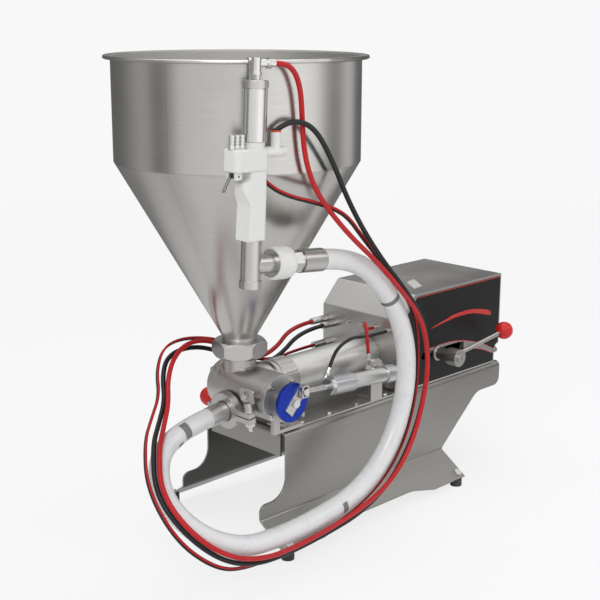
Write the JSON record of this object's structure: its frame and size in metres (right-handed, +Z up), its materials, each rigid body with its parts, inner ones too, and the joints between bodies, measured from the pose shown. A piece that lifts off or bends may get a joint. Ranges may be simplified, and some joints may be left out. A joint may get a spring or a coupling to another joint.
{
  "type": "food depositor",
  "caption": "Table-top pneumatic depositor with a conical hopper over a rotary valve, a product cylinder, a control cabinet and a hand gun on a hose.",
  "frame": {"origin": "on the floor, midway between the hopper rim's front and the air inlet's end, and midway between the rim's sides", "axes": "+X along the product cylinder toward the cabinet's rear, -Y toward the operator and the near lever, +Z up"},
  "size_m": [0.8874, 0.4356, 0.8161],
  "materials": {
    "steel_base": "brushed, slightly dark",
    "steel_sheet": "fine brushed",
    "steel_bright": "polished",
    "steel_turned": "turned, satin",
    "bolt_steel": "bright, plain",
    "aluminium": "satin anodised",
    "blue_anodised": "blue, satin anodised",
    "dark_plastic": "matte black",
    "grey_plastic": "matte dark grey",
    "white_plastic": "white, satin",
    "red_plastic": "red, glossy",
    "orange_plastic": "orange red, glossy",
    "label_film": "black film with red and grey bands",
    "rubber": "black",
    "hose_clear": "translucent white",
    "line_red": "red, soft",
    "line_black": "black, soft"
  },
  "bodies": {
    "base": {"base_frame": "steel_base", "rubber_feet": "rubber", "hex_bolts": "bolt_steel", "socket_bolts": "bolt_steel", "deck_plate": "steel_sheet", "cabinet_shell": "steel_sheet", "label_panel": "label_film", "line_fittings": "dark_plastic", "air_inlet": "steel_turned", "hopper": "steel_bright", "gaskets": "rubber", "valve_body": "steel_turned", "valve_bracket": "steel_turned", "valve_cap": "steel_turned", "far_stud": "bolt_steel", "spout_tail": "steel_turned", "clamp_upper": "steel_turned", "clamp_lower": "steel_turned", "clamp_bolt": "bolt_steel", "product_tube": "steel_bright", "cylinder_rings": "grey_plastic", "drive_tube": "aluminium", "drive_caps": "aluminium", "actuator_barrel": "steel_bright", "actuator_caps": "aluminium", "actuator_elbows": "steel_bright", "actuator_bracket": "steel_sheet", "volume_rail": "steel_turned", "gun_barrel": "steel_bright", "gun_body": "white_plastic", "gun_nozzle": "steel_bright", "branch_collar": "white_plastic", "hose_sleeve": "steel_turned", "gun_steel_fittings": "steel_bright", "gun_side_elbow": "white_plastic", "gun_side_collar": "orange_plastic", "gun_hook": "steel_sheet", "food_hose": "hose_clear", "hose_line_red": "line_red", "hose_line_black": "line_black", "trigger_lines": "line_red", "actuator_line_red": "line_red", "actuator_line_black": "line_black"},
    "crank": {"valve_rotor": "steel_turned", "crank_disc": "blue_anodised", "crank_hub": "steel_turned", "crank_plate": "steel_sheet", "crank_fasteners": "bolt_steel"},
    "actuator_rod": {"actuator_rod": "steel_turned"},
    "product_piston": {"product_piston": "white_plastic"},
    "union_nut": {"union_nut": "steel_turned"},
    "volume_carriage": {"volume_carriage": "aluminium", "volume_stack": "steel_turned"},
    "volume_lever": {"volume_lever": "steel_turned", "near_ball": "red_plastic"},
    "far_lever": {"far_lever": "steel_turned", "far_ball": "red_plastic"},
    "wing_nut": {"wing_nut": "steel_turned"},
    "gun_trigger": {"gun_trigger": "steel_bright"},
    "gun_plunger": {"gun_plunger": "steel_turned"}
  },
  "joints": [
    {"name": "crank_turn", "type": "hinge", "parent": "base", "child": "crank", "pos_m": [-0.2005, 0, 0.258], "axis": [0, -1, 0], "range_deg": [0, 90]},
    {"name": "actuator_stroke", "type": "slide", "parent": "base", "child": "actuator_rod", "axis": [-0.9974, 0, 0.0715], "range_m": [0, 0.034]},
    {"name": "piston_stroke", "type": "slide", "parent": "base", "child": "product_piston", "axis": [1, 0, 0], "range_m": [0, 0.1]},
    {"name": "union_nut_turn", "type": "hinge", "parent": "base", "child": "union_nut", "pos_m": [-0.2005, 0, 0.326], "axis": [0, 0, 1], "continuous": true},
    {"name": "volume_slide", "type": "slide", "parent": "base", "child": "volume_carriage", "axis": [1, 0, 0], "range_m": [-0.038, 0.066]},
    {"name": "volume_lock", "type": "hinge", "parent": "volume_carriage", "child": "volume_lever", "pos_m": [0.21, -0.14, 0.2525], "axis": [0, -1, 0], "range_deg": [-25, 60]},
    {"name": "far_lock", "type": "hinge", "parent": "base", "child": "far_lever", "pos_m": [-0.13, 0.085, 0.217], "axis": [0, 0, 1], "range_deg": [-90, 10]},
    {"name": "wing_nut_turn", "type": "hinge", "parent": "base", "child": "wing_nut", "pos_m": [-0.2487, -0.077, 0.23081], "axis": [0.1184, 0, -0.993], "range_deg": [0, 25]},
    {"name": "gun_trigger_pull", "type": "hinge", "parent": "base", "child": "gun_trigger", "pos_m": [-0.37608, -0.18942, 0.65189], "axis": [-0.0003, -0.9997, -0.0247], "range_deg": [0, 15], "stiffness_Nm_per_rad": 0.03, "springref_deg": -11.46},
    {"name": "gun_plunger_lift", "type": "slide", "parent": "base", "child": "gun_plunger", "axis": [0.0247, -0.0247, 0.9994], "range_m": [0, 0.02], "stiffness_N_per_m": 400, "springref_m": -0.01}
  ],
  "couplings": [
    {"joint": "actuator_stroke", "follows": "crank_turn", "m_per_rad": 0.0216}
  ]
}
